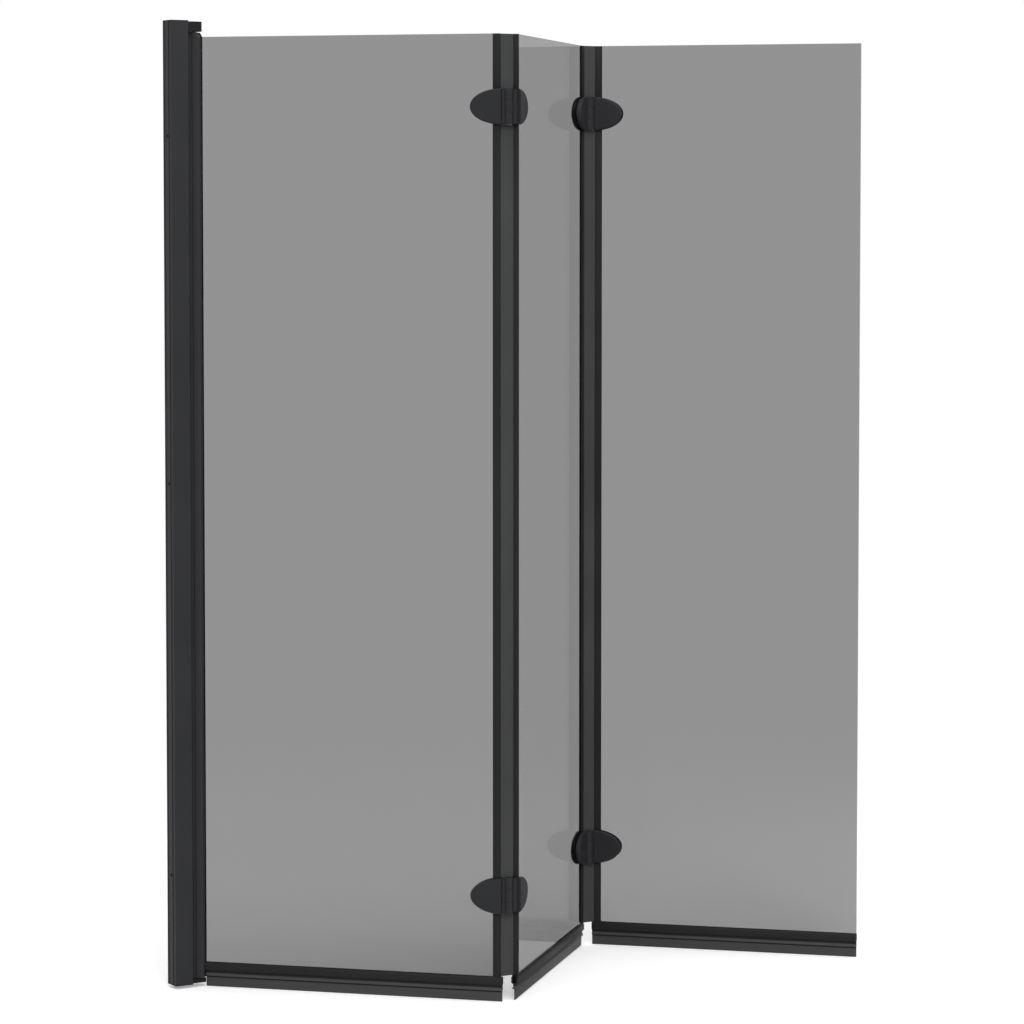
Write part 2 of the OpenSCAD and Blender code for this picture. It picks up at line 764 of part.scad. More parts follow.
// Half hinge at the start of panel 3
module half_2b() { on_panel_3() at_start(-1) children(); }
module hinge_2_leaf_b() { half_2b() leaf_plate(false); }
module hinge_2_back_plate_b() { half_2b() back_plate(); }
module hinge_2_covers_b() { half_2b() covers(); }
module hinge_2_pads_b() { half_2b() pads(); }
module hinge_2_screws_b() { half_2b() screws(); }
module hinge_2_bushes() { half_2b() hinge_bush(); }

wall_channel();
channel_end_caps();
adjusting_profile();
top_pivot_block();
bottom_pivot_block();
pivot_pins();
channel_screws();
block_screws();
pivot_profile();
pivot_bushes();
glazing_gasket();
glass_panel_1();
bottom_seal_clip_1();
bottom_seal_blade_1();
edge_clip_1();
joint_web_12();
hinge_1_leaf_a();
hinge_1_back_plate_a();
hinge_1_covers_a();
hinge_1_pads_a();
hinge_1_screws_a();
hinge_1_pins();
glass_panel_2();
bottom_seal_clip_2();
bottom_seal_blade_2();
edge_clip_2a();
edge_clip_2b();
joint_web_23();
hinge_1_leaf_b();
hinge_1_back_plate_b();
hinge_1_covers_b();
hinge_1_pads_b();
hinge_1_screws_b();
hinge_1_bushes();
hinge_2_leaf_a();
hinge_2_back_plate_a();
hinge_2_covers_a();
hinge_2_pads_a();
hinge_2_screws_a();
hinge_2_pins();
glass_panel_3();
bottom_seal_clip_3();
bottom_seal_blade_3();
edge_clip_3();
hinge_2_leaf_b();
hinge_2_back_plate_b();
hinge_2_covers_b();
hinge_2_pads_b();
hinge_2_screws_b();
hinge_2_bushes();
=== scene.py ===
"""Dresses a folding bath screen: tinted glass, soft seals, rounded hinges and a plain pale studio."""

import json
import math
from collections import namedtuple

import bpy
import numpy as np
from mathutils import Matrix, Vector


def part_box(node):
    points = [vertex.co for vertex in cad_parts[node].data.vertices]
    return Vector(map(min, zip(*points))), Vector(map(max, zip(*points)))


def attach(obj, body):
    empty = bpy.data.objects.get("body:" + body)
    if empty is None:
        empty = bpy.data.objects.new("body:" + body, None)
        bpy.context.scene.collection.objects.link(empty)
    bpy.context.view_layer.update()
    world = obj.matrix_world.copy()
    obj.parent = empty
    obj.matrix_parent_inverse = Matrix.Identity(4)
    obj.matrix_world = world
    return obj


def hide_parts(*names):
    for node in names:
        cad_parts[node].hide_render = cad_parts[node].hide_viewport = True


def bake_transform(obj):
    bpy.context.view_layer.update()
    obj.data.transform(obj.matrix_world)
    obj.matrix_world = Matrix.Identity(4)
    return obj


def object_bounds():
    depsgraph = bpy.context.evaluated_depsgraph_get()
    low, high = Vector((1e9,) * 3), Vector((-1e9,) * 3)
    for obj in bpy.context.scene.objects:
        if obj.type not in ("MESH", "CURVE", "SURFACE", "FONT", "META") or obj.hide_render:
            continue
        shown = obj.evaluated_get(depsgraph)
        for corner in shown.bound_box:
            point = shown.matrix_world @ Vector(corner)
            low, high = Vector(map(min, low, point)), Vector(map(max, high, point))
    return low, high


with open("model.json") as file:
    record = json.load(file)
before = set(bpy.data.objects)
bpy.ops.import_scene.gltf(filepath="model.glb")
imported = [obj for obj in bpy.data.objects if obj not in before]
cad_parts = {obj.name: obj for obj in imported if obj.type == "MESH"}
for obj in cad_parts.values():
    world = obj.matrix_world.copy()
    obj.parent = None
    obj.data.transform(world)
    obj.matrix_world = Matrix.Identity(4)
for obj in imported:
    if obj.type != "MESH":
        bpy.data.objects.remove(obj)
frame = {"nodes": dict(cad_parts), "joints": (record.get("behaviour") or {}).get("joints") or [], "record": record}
cad_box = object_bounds()

bl_info = {
    "name": "Folding Bath Screen",
    "version": (1, 0, 0),
    "blender": (4, 5, 0),
    "location": "View3D > Sidebar > Bath Screen",
    "description": "Builds the glass, seals and hinges of a folding bath screen around its solids",
    "category": "Add Mesh",
}

MM = 0.001

# Start of the names of this script's materials, which sets them apart from those of the solids
FINISH = "finish_"
# The stretch of a noise's values that holds nearly all of them
NOISE_LOW, NOISE_HIGH = 0.3, 0.7
# Features of noise per metre in each direction
PATCHES = (7, 7, 7)
GLASS_WAVES = (9, 9, 5)
UPRIGHT_LINES = (900, 900, 12)
LEVEL_LINES = (14, 14, 900)

# What the solids give

# Start is a point seen from above, angle is from the wall's normal, and end is the length from the start
Panel = namedtuple("Panel", "body number start angle end")
# The barrel is on one side of the glass. The half at a panel's end has two knuckles, the other half has one
HalfHinge = namedtuple("HalfHinge", "hinge letter panel at_end side")


def turned(point, angle):
    """The point (x, y) turned by an angle about the origin."""
    c, s = math.cos(angle), math.sin(angle)
    return np.array([point[0] * c - point[1] * s, point[0] * s + point[1] * c])


def joint_axis(name):
    """Where a joint's upright axis stands, seen from above."""
    joint = next(j for j in frame["joints"] if j["name"] == name)
    return np.array(joint["pos_m"][:2])


def panel_places(sizes):
    """Start, angle and length of the three panels, worked out from the joints' axes."""
    zig, zag = -sizes.rest_angle, sizes.rest_angle
    gap, off = sizes.axis_gap, sizes.axis_offset
    pivot, fold_12, fold_23 = (joint_axis(n) for n in ("wall_pivot", "fold_12", "fold_23"))
    end_1 = turned(fold_12 - pivot, -zig)[0] - gap
    start_2 = fold_12 - turned((-gap, off), zag)
    end_2 = turned(fold_23 - start_2, -zag)[0] - gap
    start_3 = fold_23 - turned((-gap, -off), zig)
    low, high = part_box("glass_panel_3")
    end_3 = (high.x - start_3[0] - sizes.glass_thickness / 2 * math.sin(zag)) / math.cos(zag)
    return [
        Panel("panel_1", 1, pivot, zig, end_1),
        Panel("panel_2", 2, start_2, zag, end_2),
        Panel("panel_3", 3, start_3, zig, end_3),
    ]


def near_end(node, half_width, panel):
    """Where a bar on a panel begins, worked out from the least x of its box, which is a corner of it."""
    across = half_width * abs(math.sin(panel.angle))
    return (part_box(node)[0].x - panel.start[0] + across) / math.cos(panel.angle)


def half_hinges(panels):
    """At each joint, one half hinge at the end of a panel and one at the start of the next."""
    one, two, three = panels
    return [
        HalfHinge(hinge=1, letter="a", panel=one, at_end=True, side=1),
        HalfHinge(hinge=1, letter="b", panel=two, at_end=False, side=1),
        HalfHinge(hinge=2, letter="a", panel=two, at_end=True, side=-1),
        HalfHinge(hinge=2, letter="b", panel=three, at_end=False, side=-1),
    ]


def hinge_heights(sizes):
    """Heights of the lower and the upper hinges' middles."""
    low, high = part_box("hinge_1_covers_a")
    return [low.z + sizes.hinge_height / 2, high.z - sizes.hinge_height / 2]


def strip_heights(sizes, gap):
    """Bottom and top of the three lengths of a joint seal, which stop at a gap from the hinges.

    A gap below zero is a reach under the hinges, and under the lip of the bottom seal as well.
    """
    lower, upper = hinge_heights(sizes)
    low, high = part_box("edge_clip_1")
    notch = sizes.hinge_height / 2 + gap
    foot = low.z + min(gap, 0)
    return [(foot, lower - notch), (lower + notch, upper - notch), (upper + notch, high.z)]


# Surfaces, each a pair of points and faces

def grid_faces(rows, columns, close_columns=False):
    """Quads between the points of a grid, counted row by row. Closed columns join the last to the first."""
    r = np.arange(rows - 1)[:, None]
    c = np.arange(columns if close_columns else columns - 1)[None, :]
    after = (c + 1) % columns
    quads = np.stack([r * columns + c, r * columns + after,
                      (r + 1) * columns + after, (r + 1) * columns + c], -1)
    return quads.reshape(-1, 4).tolist()


def unit(vectors):
    """Vectors of length one."""
    return vectors / np.linalg.norm(vectors, axis=-1, keepdims=True)


def rounded(corners, radii, steps=4):
    """An outline whose corners are arcs.

    An arc of radius r at a corner of angle a starts and ends r / tan(a / 2) from the corner, and its
    centre lies on the corner's bisector at r / sin(a / 2).
    """
    corners = np.array(corners, float)
    outline = []
    for i, radius in enumerate(radii):
        corner = corners[i]
        back = unit(corners[i - 1] - corner)
        onward = unit(corners[(i + 1) % len(corners)] - corner)
        half = math.acos(float(np.clip(back @ onward, -1, 1))) / 2
        if radius == 0 or half > math.pi / 2 - 1e-4:
            outline.append(corner[None])
            continue
        centre = corner + unit(back + onward) * radius / math.sin(half)
        first = corner + back * radius / math.tan(half) - centre
        last = corner + onward * radius / math.tan(half) - centre
        start = math.atan2(first[1], first[0])
        sweep = (math.atan2(last[1], last[0]) - start + math.pi) % (2 * math.pi) - math.pi
        angles = start + sweep * np.linspace(0, 1, steps + 1)
        outline.append(centre + radius * np.column_stack([np.cos(angles), np.sin(angles)]))
    return np.concatenate(outline)


def carried(profile, stations):
    """A closed profile, anticlockwise in its own plane, carried along the third direction.

    Each station is a place along it and how far the profile is drawn in there. A point is drawn in along
    the sum of its two edges' normals, over one plus their product, which keeps both edges parallel.
    """
    before = unit(profile - np.roll(profile, 1, 0))
    after = unit(np.roll(profile, -1, 0) - profile)
    outward = np.column_stack([before[:, 1] + after[:, 1], -before[:, 0] - after[:, 0]])
    outward /= 1 + np.sum(before * after, 1, keepdims=True)
    n = len(profile)
    rings = [ring(profile - inset * outward, place) for place, inset in stations]
    faces = grid_faces(len(rings), n, close_columns=True)
    faces.append(list(range(n))[::-1])
    faces.append(list(range((len(rings) - 1) * n, len(rings) * n)))
    return np.concatenate(rings), faces


def ring(outline, place):
    """The points of an outline, put at a place along the third direction."""
    return np.column_stack([outline, np.full(len(outline), place)])


def lid(outline, height, faces_up):
    """A flat face at a height. The outline is anticlockwise seen from above."""
    corners = list(range(len(outline)))
    return ring(outline, height), [corners if faces_up else corners[::-1]]


def sleeve(outline, low, high):
    """The upright faces over an outline that is anticlockwise seen from above, with no lids."""
    rings = np.concatenate([ring(outline, low), ring(outline, high)])
    return rings, grid_faces(2, len(outline), close_columns=True)


def softened(low, high, edge, steps=3):
    """Stations of a bar from low to high whose end edges are quarter circles of radius edge."""
    angles = np.linspace(0, math.pi / 2, steps + 1)
    rise, inset = edge * (1 - np.cos(angles)), edge * (1 - np.sin(angles))
    foot = list(zip(low + rise, inset))
    head = list(zip(high - rise[::-1], inset[::-1]))
    return foot + head


def revolved(profile, centre, steps=72):
    """A closed profile of radius and height, anticlockwise, turned a full circle about an upright axis."""
    n = len(profile)
    radius, height = profile[:, 0], profile[:, 1]
    angles = np.linspace(0, 2 * math.pi, steps, endpoint=False)[:, None]
    points = np.stack([centre[0] + radius * np.cos(angles), centre[1] + radius * np.sin(angles),
                       np.broadcast_to(height, (steps, n))], -1)
    turn = np.arange(steps)[:, None]
    point = np.arange(n)[None, :]
    next_turn, next_point = (turn + 1) % steps, (point + 1) % n
    quads = np.stack([turn * n + point, next_turn * n + point,
                      next_turn * n + next_point, turn * n + next_point], -1)
    return points.reshape(-1, 3), quads.reshape(-1, 4).tolist()


def joined(shapes):
    """Several shapes as one."""
    points, faces, count = [], [], 0
    for more_points, more_faces in shapes:
        points.append(more_points)
        faces += [[i + count for i in face] for face in more_faces]
        count += len(more_points)
    return np.concatenate(points), faces


def welded(shape):
    """A shape whose points at the same place are made one."""
    points, faces = shape
    places = np.round(points, 9)
    _, first, new = np.unique(places, axis=0, return_index=True, return_inverse=True)
    new = new.reshape(-1)
    return points[first], [new[face].tolist() for face in faces]


def moved(shape, offset):
    """A shape moved by an offset."""
    return shape[0] + np.array(offset), shape[1]


def mapped(shape, columns, signs=(1, 1, 1)):
    """A shape with its coordinates in another order and some turned round, its faces kept outward."""
    points = shape[0][:, columns] * np.array(signs)
    matrix = np.zeros((3, 3))
    matrix[np.arange(3), columns] = signs
    flips = np.linalg.det(matrix) < 0
    return points, [face[::-1] for face in shape[1]] if flips else shape[1]


def on_panel(shape, panel):
    """A shape drawn as along, across and up, put on its panel."""
    c, s = math.cos(panel.angle), math.sin(panel.angle)
    turn = np.array([[c, s, 0], [-s, c, 0], [0, 0, 1]])
    return shape[0] @ turn + np.array([*panel.start, 0]), shape[1]


def on_half_hinge(shape, half, height):
    """A shape drawn with the leaf along minus x and the barrel at plus y, put at a joint and a height."""
    along = 1 if half.at_end else -1
    points, faces = mapped(shape, [0, 1, 2], (along, half.side, 1))
    offset = (half.panel.end if half.at_end else 0, 0, height)
    return on_panel((points + np.array(offset), faces), half.panel)


def add_piece(name, shape, body, material, replaces=(), sharp=35):
    """A mesh object from a shape, with its finish, its body and the nodes that it stands for.

    Edges that turn by more than sharp degrees are shaded as edges.
    """
    mesh = bpy.data.meshes.new(name)
    mesh.from_pydata(shape[0].tolist(), [], shape[1])
    mesh.validate()
    mesh.polygons.foreach_set("use_smooth", np.ones(len(mesh.polygons), bool))
    mesh.set_sharp_from_angle(angle=math.radians(sharp))
    mesh.materials.append(material)
    piece = bpy.data.objects.new(name, mesh)
    bpy.context.scene.collection.objects.link(piece)
    if body:
        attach(piece, body)
    if replaces:
        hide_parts(*replaces)
    return piece


def add_web(name, side, sizes, first, second):
    """A soft web between two panels, from one end of its middle line to the other."""
    outline = web_outline(sizes, side, first, second)
    spans = strip_heights(sizes, sizes.web_notch)
    shape = joined([carried(outline, [(low, 0), (high, 0)]) for low, high in spans])
    web = add_piece(f"soft_web_{name}", shape, None, material_of("web_rubber"))
    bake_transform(web)
    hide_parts(f"joint_web_{name}")


# Sections

def glass_section(sizes, near, far):
    """The glass seen from above: a rectangle with its long edges ground off."""
    half = sizes.glass_thickness / 2
    corners = [(near, -half), (far, -half), (far, half), (near, half)]
    return rounded(corners, [sizes.glass_arris] * 4, steps=2)


def bottom_clip_section(sizes):
    """The bottom seal's clip as across and up: two fins, a neck and a body with a slot for the glass."""
    slot = sizes.glass_thickness / 2 + sizes.seal_play
    blade, fin, notch = sizes.blade_height, sizes.fin_height, sizes.notch_height
    neck_top = blade + fin + notch
    top = sizes.seal_height
    side = [
        (sizes.fin_half, blade), (sizes.fin_half, blade + sizes.fin_edge),
        (sizes.neck_half, blade + fin), (sizes.neck_half, neck_top),
        (sizes.seal_half, neck_top + sizes.seal_slope), (sizes.seal_half, top - sizes.seal_taper),
        (sizes.seal_lip_half, top), (slot, top), (slot, top - sizes.seal_grip),
    ]
    edge = sizes.seal_edge
    radii = [edge / 3, edge / 3, edge, edge, edge, edge, edge / 4, edge / 4, 0]
    other = [(-y, z) for y, z in side[::-1]]
    return rounded(side + other, radii + radii[::-1])


def blade_section(sizes):
    """The soft blade as across and up: it thins slightly towards its rounded tip."""
    half, tip = sizes.blade_thickness / 2, sizes.blade_tip / 2
    top = sizes.blade_height + sizes.fin_edge
    corners = [(-tip, 0), (tip, 0), (half, top), (-half, top)]
    return rounded(corners, [tip * 0.9, tip * 0.9, 0, 0])


def edge_clip_section(sizes):
    """A joint seal's clip seen from above: a U over the glass edge at a panel's end, with tapered lips."""
    slot, half = sizes.glass_thickness / 2 + sizes.seal_play, sizes.clip_thickness / 2
    face = -sizes.clip_gap
    back, inner = face - sizes.clip_depth, face - sizes.clip_end
    lip, edge = slot + sizes.clip_lip, sizes.clip_edge
    corners = [
        (inner, slot), (back, slot), (back, lip), (face, half),
        (face, -half), (back, -lip), (back, -slot), (inner, -slot),
    ]
    radii = [0, edge / 5, edge / 5, edge, edge, edge / 5, edge / 5, 0]
    return rounded(corners[::-1], radii[::-1])


def web_outline(sizes, side, first, second):
    """The soft web seen from above, in the row frame, as a closed ring of points.

    Its middle line runs straight from inside one clip's end wall into the next one's. At both ends, where
    the web is welded to its clips, its half thickness swells by the fourth power of a cosine.
    """
    reach = sizes.clip_gap + sizes.web_overlap
    level = side * (sizes.clip_thickness / 2 - sizes.web_level)
    start = first.start + turned((first.end - reach, level), first.angle)
    end = second.start + turned((reach, level), second.angle)
    t = np.linspace(0, 1, sizes.web_columns)[:, None]
    line = start + (end - start) * t
    direction = unit(end - start)
    across = np.array([-direction[1], direction[0]])
    swell = 1 + sizes.web_root * np.clip(np.cos(t * 2 * math.pi), 0, 1) ** 4
    half = sizes.web_thickness / 2 * swell
    return np.concatenate([line - across * half, (line + across * half)[::-1]])


def leaf_outline(sizes, inset, steps):
    """Half a superellipse from its top end round the tip to its lower end, drawn smaller by inset.

    x is the length times the cosine and z the half height times the sine, each to the power of two over
    the fullness, for angles from a quarter turn to three quarters.
    """
    angles = np.linspace(math.pi / 2, 3 * math.pi / 2, steps + 1)
    c, s = np.cos(angles), np.sin(angles)
    power = 2 / sizes.leaf_fullness
    x = (sizes.leaf_length - inset) * np.sign(c) * np.abs(c) ** power
    z = (sizes.hinge_height / 2 - inset) * np.sign(s) * np.abs(s) ** power
    x[[0, -1]] = 0
    return x, z


def cover_shape(sizes, at_barrel, steps=96, rim_steps=8, crown_steps=6):
    """A hinge cover: a half egg with a rounded rim and a slightly crowned face.

    Rings of the leaf's outline climb the straight skirt, follow a quarter of an ellipse over the rim, and
    shrink to the middle of the end while the face rises by crown times one minus their scale squared. At
    the barrel each ring is squeezed along the leaf, so that it ends on a cylinder round the hinge axis.
    """
    base, top = sizes.cover_base, sizes.cover_top - sizes.cover_crown
    rim = sizes.cover_rim
    turns = np.linspace(0, math.pi / 2, rim_steps + 1)
    scales = np.linspace(1, 0, crown_steps + 1)[1:-1]
    rings = [(base, 0.0, 1.0)]
    rings += [(top - rim + rim * math.sin(a), rim * (1 - math.cos(a)), 1.0) for a in turns]
    rings += [(top + sizes.cover_crown * (1 - s * s), rim, s) for s in scales]
    points = []
    for y, inset, scale in rings:
        x, z = leaf_outline(sizes, inset, steps)
        points.append(np.column_stack([x * scale, np.full(steps + 1, y), z * scale]))
    points.append(np.array([[0, sizes.cover_top, 0]]))
    points = np.concatenate(points)
    if at_barrel:
        room = sizes.barrel_radius + sizes.barrel_room
        end = sizes.axis_gap - np.sqrt(room ** 2 - (sizes.axis_offset - points[:, 1]) ** 2)
        points[:, 0] = end + points[:, 0] * (sizes.leaf_length + end) / sizes.leaf_length
    n, m = steps + 1, len(rings)
    last, apex = (m - 1) * n, m * n
    skin = [face[::-1] for face in grid_faces(m, n)]
    barrel_end = [[k * n + steps, (k + 1) * n + steps, (k + 1) * n, k * n] for k in range(m - 1)]
    middle = [[last + j, apex, last + (j + 1) % n] for j in range(n)]
    foot = [list(range(n))]
    return points, skin + barrel_end + middle + foot


def knuckle_shape(sizes, low, high):
    """A barrel knuckle with softened edges, and the tab that joins it to its plate."""
    edge, bore, radius = sizes.knuckle_edge, sizes.bore_radius, sizes.barrel_radius
    corners = [(bore, low), (radius, low), (radius, high), (bore, high)]
    profile = rounded(corners, [edge / 3, edge, edge, edge / 3])
    barrel = revolved(profile, (sizes.axis_gap, sizes.axis_offset))
    tab = [
        (-sizes.tab_length, sizes.cover_base), (0, sizes.cover_base),
        (sizes.tab_reach, sizes.plate_out), (-sizes.tab_length, sizes.plate_out),
    ]
    tab_bar = carried(np.array(tab), softened(low, high, edge))
    return joined([barrel, tab_bar])


def plate_shape(sizes, steps=64):
    """The leaf's plate, which lies inside its cover, set back from the barrel."""
    x, z = leaf_outline(sizes, sizes.cover_wall, steps)
    outline = np.column_stack([x - sizes.plate_setback * (1 + x / sizes.leaf_length), z])
    bar = carried(outline, [(-sizes.plate_out, 0), (-sizes.cover_base, 0)])
    return mapped(bar, [0, 2, 1], (1, -1, 1))


def end_wall_section(sizes, radius, steps=12):
    """The wall in front of the glass edge seen from above, as its first corners, an arc and its last corner.

    A point of the arc stands at radius times the sine and the cosine of its angle from the hinge axis. The
    angles run from where the sine meets the nose's end face to where the cosine meets the plate.
    """
    wall, nose, reach, edge = sizes.end_wall, sizes.nose, sizes.cover_base, sizes.knuckle_edge
    first = math.asin((nose - sizes.axis_gap) / radius)
    last = -math.acos((sizes.axis_offset - reach) / radius)
    angles = np.linspace(first, last, steps + 1)
    arc = np.column_stack([sizes.axis_gap + radius * np.sin(angles),
                           sizes.axis_offset - radius * np.cos(angles)])
    trim = edge * (1 - math.sqrt(0.5))
    corners = [(-wall, -reach), (nose - edge, -reach), (nose - trim, trim - reach), (nose, edge - reach)]
    return np.array(corners), arc, np.array([(-wall, reach)])


def end_wall_shape(sizes, outer):
    """The end wall in one skin: grown into its own knuckles, and hollowed round the other leaf's.

    Its section changes where one leaf's knuckles end and the other's begin, with a flat step between the
    two arcs. The hollowed section's arc ends are also points of the grown one, so the skin is closed.
    """
    top = sizes.hinge_height / 2 - sizes.cover_wall
    split = sizes.knuckle_height / 2 + (sizes.knuckle_gap if outer else 0)
    corners, own, end = end_wall_section(sizes, sizes.barrel_radius - 2 * sizes.knuckle_edge)
    other = end_wall_section(sizes, sizes.barrel_radius + sizes.barrel_room)[1]
    grown = np.concatenate([corners, other[:1], own, other[-1:], end])
    hollowed = np.concatenate([corners, other, end])
    step = np.concatenate([other[:1], own, other[:0:-1]])
    ends, middle = (grown, hollowed) if outer else (hollowed, grown)
    return welded(joined([
        lid(ends, -top, False), sleeve(ends, -top, -split), lid(step, -split, outer),
        sleeve(middle, -split, split), lid(step, split, not outer), sleeve(ends, split, top),
        lid(ends, top, True),
    ]))


# Materials

def new_material(name):
    """A node material with only its shader, new or emptied."""
    material = bpy.data.materials.get(FINISH + name) or bpy.data.materials.new(FINISH + name)
    material.use_nodes = True
    tree = material.node_tree
    tree.nodes.clear()
    output = tree.nodes.new("ShaderNodeOutputMaterial")
    shader = tree.nodes.new("ShaderNodeBsdfPrincipled")
    tree.links.new(shader.outputs["BSDF"], output.inputs["Surface"])
    return material, tree, shader


def object_place(tree):
    """Where a point lies in its object's own coordinates."""
    return tree.nodes.new("ShaderNodeTexCoord").outputs["Object"]


def noise(tree, stretch, detail=2.0):
    """Noise in the object's own coordinates, with features per metre given for each direction."""
    mapping = tree.nodes.new("ShaderNodeMapping")
    mapping.inputs["Scale"].default_value = stretch
    texture = tree.nodes.new("ShaderNodeTexNoise")
    texture.inputs["Scale"].default_value = 1.0
    texture.inputs["Detail"].default_value = detail
    tree.links.new(object_place(tree), mapping.inputs["Vector"])
    tree.links.new(mapping.outputs["Vector"], texture.inputs["Vector"])
    return texture.outputs["Fac"]


def worked_out(tree, operation, first, second):
    """A number worked out from a socket and from a second socket or a plain number."""
    node = tree.nodes.new("ShaderNodeMath")
    node.operation = operation
    tree.links.new(first, node.inputs[0])
    if isinstance(second, bpy.types.NodeSocket):
        tree.links.new(second, node.inputs[1])
    else:
        node.inputs[1].default_value = second
    return node.outputs["Value"]


def ranged(tree, value, low, high, start=0.0, end=1.0, kind="LINEAR"):
    """A number that runs from low to high as a value runs from start to end, and stays there beyond them."""
    node = tree.nodes.new("ShaderNodeMapRange")
    node.interpolation_type = kind
    node.inputs["From Min"].default_value = start
    node.inputs["From Max"].default_value = end
    node.inputs["To Min"].default_value = low
    node.inputs["To Max"].default_value = high
    tree.links.new(value, node.inputs["Value"])
    return node.outputs["Result"]


def mottled(tree, factor, colour, spread=0.08):
    """A colour that follows noise from a little darker to a little lighter."""
    ramp = tree.nodes.new("ShaderNodeValToRGB")
    places, levels = (NOISE_LOW, NOISE_HIGH), (1 - spread, 1 + spread)
    for element, place, level in zip(ramp.color_ramp.elements, places, levels):
        element.position = place
        element.color = (*[c * level for c in colour[:3]], 1)
    tree.links.new(factor, ramp.inputs["Fac"])
    return ramp.outputs["Color"]


def bumped(tree, shader, factor, relief):
    """Raises the surface by noise, to a height in metres."""
    bump = tree.nodes.new("ShaderNodeBump")
    bump.inputs["Distance"].default_value = relief
    tree.links.new(factor, bump.inputs["Height"])
    tree.links.new(bump.outputs["Normal"], shader.inputs["Normal"])


def surfaced(tree, shader, factor, smoothest, roughest, relief, shine):
    """Gives a shader a strength of reflection, and a roughness and a relief that follow noise."""
    roughness = ranged(tree, factor, smoothest, roughest, NOISE_LOW, NOISE_HIGH)
    tree.links.new(roughness, shader.inputs["Roughness"])
    shader.inputs["Specular IOR Level"].default_value = shine
    bumped(tree, shader, factor, relief)


def opaque(name, colour, roughness, grain, relief, shine=0.5, metallic=0.0):
    """A finish with slow patches of colour, and a fine grain in its gloss and relief."""
    material, tree, shader = new_material(name)
    tree.links.new(mottled(tree, noise(tree, PATCHES), colour), shader.inputs["Base Color"])
    surfaced(tree, shader, noise(tree, grain), roughness * 0.9, roughness * 1.1, relief, shine)
    shader.inputs["Metallic"].default_value = metallic
    return material


def grades_and_fin_shadow(name, colours, height):
    """A bottom seal's plastic: black above a height and grey below it. On the clip this splits the stiff body from
    the soft fins. On the blade, the black band above the height is painted shadow that stands in for the shade
    under the fins.
    """
    material, tree, shader = new_material(name)
    lines = noise(tree, LEVEL_LINES)
    split = tree.nodes.new("ShaderNodeSeparateXYZ")
    tree.links.new(object_place(tree), split.inputs["Vector"])
    mix = tree.nodes.new("ShaderNodeMix")
    mix.data_type = "RGBA"
    tree.links.new(worked_out(tree, "GREATER_THAN", split.outputs["Z"], height), mix.inputs["Factor"])
    tree.links.new(mottled(tree, lines, colours.blade), mix.inputs["A"])
    tree.links.new(mottled(tree, lines, colours.seal), mix.inputs["B"])
    tree.links.new(mix.outputs["Result"], shader.inputs["Base Color"])
    surfaced(tree, shader, lines, 0.38, 0.46, 0.02 * MM, colours.plastic_shine)
    return material


def tinted_glass(colours):
    """Clear toughened glass with a grey tint and the faint waves that toughening leaves."""
    material, tree, shader = new_material("tinted_glass")
    shader.inputs["Base Color"].default_value = colours.glass
    shader.inputs["Transmission Weight"].default_value = 1.0
    shader.inputs["IOR"].default_value = colours.glass_ior
    shader.inputs["Roughness"].default_value = 0.0
    bumped(tree, shader, noise(tree, GLASS_WAVES, detail=0.0), colours.glass_wave)
    return material


def make_materials(colours, fin_shadow_foot, fins_top):
    """One material for each slot of the record, and the further ones of the seals."""
    metal, plastic = colours.metal_shine, colours.plastic_shine
    fine = 0.02 * MM
    made = [
        opaque("black_profile", colours.profile, 0.42, (1500, 1500, 1100), fine, metal),
        opaque("black_hinge", colours.hinge, 0.36, (1700, 1700, 1700), fine, metal),
        opaque("black_plastic", colours.plastic, 0.5, (2200, 2200, 2200), 0.03 * MM, plastic),
        opaque("seal_plastic", colours.seal, 0.4, LEVEL_LINES, fine, plastic),
        opaque("clip_plastic", colours.seal, 0.42, UPRIGHT_LINES, fine, plastic),
        opaque("seal_rubber", colours.blade, 0.55, LEVEL_LINES, 0.03 * MM, plastic),
        opaque("web_rubber", colours.web, 0.5, UPRIGHT_LINES, fine, plastic),
        opaque("pad_rubber", colours.pad, 0.7, (1500, 1500, 1500), 0.04 * MM),
        opaque("steel", colours.steel, 0.28, (400, 400, 2500), 0.01 * MM, metallic=1.0),
        opaque("nylon", colours.nylon, 0.45, (800, 800, 800), fine),
        grades_and_fin_shadow("bottom_clip", colours, fins_top),
        # The blade's material is black above a height just under the fins: a painted shadow band for the shade
        # under them
        grades_and_fin_shadow("blade_and_root", colours, fin_shadow_foot),
        tinted_glass(colours),
    ]
    return {material.name.removeprefix(FINISH): material for material in made}


def material_of(name):
    """A material made by the finish operator."""
    material = bpy.data.materials.get(FINISH + name)
    if material is None:
        raise RuntimeError(f"the material {name} is missing: run the finish operator first")
    return material


# Settings

def length(label, text, default, high=2.0):
    """A size in metres that a user may change."""
    return bpy.props.FloatProperty(name=label, description=text, default=default, min=0.0, max=high,
                                   unit="LENGTH", subtype="DISTANCE", precision=5)


def angle(label, text, default):
    """An angle that a user may change."""
    return bpy.props.FloatProperty(name=label, description=text, default=default, subtype="ANGLE",
                                   unit="ROTATION")


def place(label, text, default):
    """A place in metres that a user may change."""
    return bpy.props.FloatVectorProperty(name=label, description=text, default=default, size=3,
                                         unit="LENGTH", subtype="TRANSLATION")


def colour(label, text, default):
    """A colour that a user may change."""
    return bpy.props.FloatVectorProperty(name=label, description=text, default=default, size=4,
                                         min=0.0, max=1.0, subtype="COLOR")


def share(label, text, default, low=0.0, high=10.0):
    """A plain number that a user may change."""
    return bpy.props.FloatProperty(name=label, description=text, default=default, min=low, max=high)


